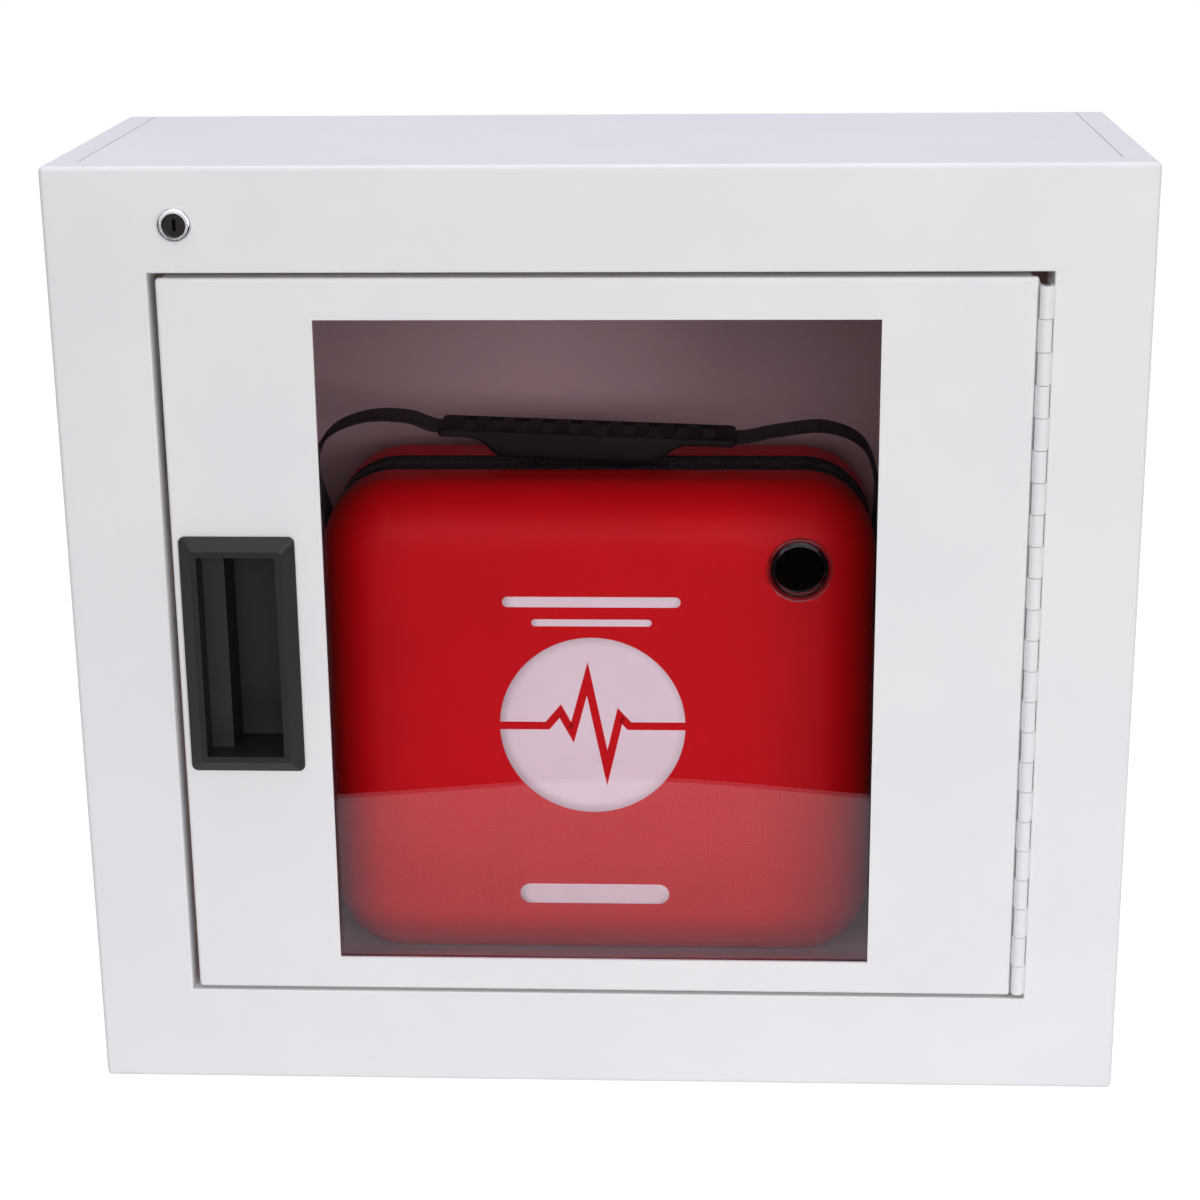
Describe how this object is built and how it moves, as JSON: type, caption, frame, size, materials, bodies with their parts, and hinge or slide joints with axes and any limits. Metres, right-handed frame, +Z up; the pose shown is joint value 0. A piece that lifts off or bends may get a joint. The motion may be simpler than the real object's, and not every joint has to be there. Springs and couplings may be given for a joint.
{
  "type": "defibrillator station",
  "caption": "Wall cabinet with a windowed door, recessed pull and key switch, holding a defibrillator in a zipped red carry case.",
  "frame": {"origin": "middle of the bounding box's footprint, on the surface that the cabinet stands on", "axes": "+Z up, +Y from the door to the wall behind, +X to the right seen from the front"},
  "size_m": [0.419, 0.1574, 0.381],
  "materials": {
    "white_powder_coat": "fine texture powder coat on folded steel",
    "plated_steel": "zinc plated",
    "acrylic": "clear cast sheet",
    "foam_tape": "white foam tape",
    "black_abs": "moulded, fine texture",
    "chrome_plate": "polished",
    "grey_abs": "moulded",
    "magnet_ferrite": "ground",
    "brass_nut": "turned",
    "board_laminate": "solder mask",
    "battery_can": "printed sleeve",
    "red_laminate": "moulded foam laminate, fine weave",
    "black_webbing": "woven",
    "zip_coil": "nylon coil",
    "clear_ring": "clear moulded",
    "grip_rubber": "ribbed",
    "black_foam": "closed cell foam",
    "device_plastic": "moulded, satin",
    "dark_plastic": "moulded, satin",
    "green_key": "satin",
    "orange_key": "satin",
    "blue_key": "satin",
    "capacitor_can": "sleeved",
    "wire_sheath": "smooth"
  },
  "bodies": {
    "cabinet": {"front_wrap": "white_powder_coat", "rear_wrap": "white_powder_coat", "case_shelf": "white_powder_coat", "shelf_rivets": "white_powder_coat", "hinge_frame_leaf": "white_powder_coat", "hinge_frame_rivets": "white_powder_coat", "hinge_pin": "plated_steel", "catch_body": "black_abs", "catch_magnet": "magnet_ferrite", "door_sensor": "grey_abs", "sensor_wire": "wire_sheath", "lock_body": "chrome_plate", "lock_nut": "brass_nut", "alarm_housing": "grey_abs", "alarm_cover": "grey_abs", "alarm_screws": "plated_steel", "alarm_board": "board_laminate", "alarm_battery": "battery_can", "alarm_siren": "black_abs", "alarm_switch": "black_abs"},
    "door": {"door_panel": "white_powder_coat", "window_gasket": "foam_tape", "window_pane": "acrylic", "pane_retainer": "plated_steel", "door_studs": "plated_steel", "door_nuts": "plated_steel", "door_pull": "black_abs", "strike_plate": "plated_steel", "sensor_magnet": "grey_abs", "hinge_door_leaf": "white_powder_coat", "hinge_door_rivets": "white_powder_coat"},
    "key": {"lock_plug": "chrome_plate", "lock_cam": "chrome_plate"},
    "case": {"case_front_shell": "red_laminate", "case_back_shell": "red_laminate", "case_gusset": "black_webbing", "zip_teeth": "zip_coil", "status_grommet": "clear_ring", "status_lens": "clear_ring", "carry_strap": "black_webbing", "strap_rivets": "plated_steel", "strap_grip": "grip_rubber", "lid_pad": "black_foam", "case_tray": "black_foam", "device_front_housing": "device_plastic", "device_rear_housing": "dark_plastic", "battery_pack": "dark_plastic", "pads_cartridge": "dark_plastic", "cartridge_handle": "orange_key", "status_light": "green_key", "device_speaker": "black_abs", "device_board": "board_laminate", "device_capacitor": "capacitor_can"},
    "zipper": {"zip_slider": "chrome_plate", "zip_pin": "plated_steel"},
    "zip_pull": {"zip_tab": "chrome_plate"},
    "on_key": {"on_button": "green_key"},
    "shock_key": {"shock_button": "orange_key"},
    "info_key": {"info_button": "blue_key"}
  },
  "joints": [
    {"name": "door_swing", "type": "hinge", "parent": "cabinet", "child": "door", "pos_m": [0.1692, -0.0742, 0.18955], "axis": [0, 0, 1], "range_deg": [0, 170]},
    {"name": "key_turn", "type": "hinge", "parent": "cabinet", "child": "key", "pos_m": [-0.1588, -0.0737, 0.359], "axis": [0, 1, 0], "range_deg": [0, 90]},
    {"name": "case_slide", "type": "slide", "parent": "cabinet", "child": "case", "axis": [0, -1, 0], "range_m": [0, 0.025]},
    {"name": "zip_run", "type": "slide", "parent": "case", "child": "zipper", "axis": [0, 0, 1], "range_m": [-0.03, 0.05]},
    {"name": "zip_tab_swing", "type": "hinge", "parent": "zipper", "child": "zip_pull", "pos_m": [0.116, 0.0278, 0.1], "axis": [0, -1, 0], "range_deg": [0, 170]},
    {"name": "on_press", "type": "slide", "parent": "case", "child": "on_key", "axis": [0, 1, 0], "range_m": [0, 0.0015], "stiffness_N_per_m": 1000, "springref_m": -0.002},
    {"name": "shock_press", "type": "slide", "parent": "case", "child": "shock_key", "axis": [0, 1, 0], "range_m": [0, 0.0015], "stiffness_N_per_m": 1000, "springref_m": -0.002},
    {"name": "info_press", "type": "slide", "parent": "case", "child": "info_key", "axis": [0, 1, 0], "range_m": [0, 0.0015], "stiffness_N_per_m": 1000, "springref_m": -0.002}
  ]
}
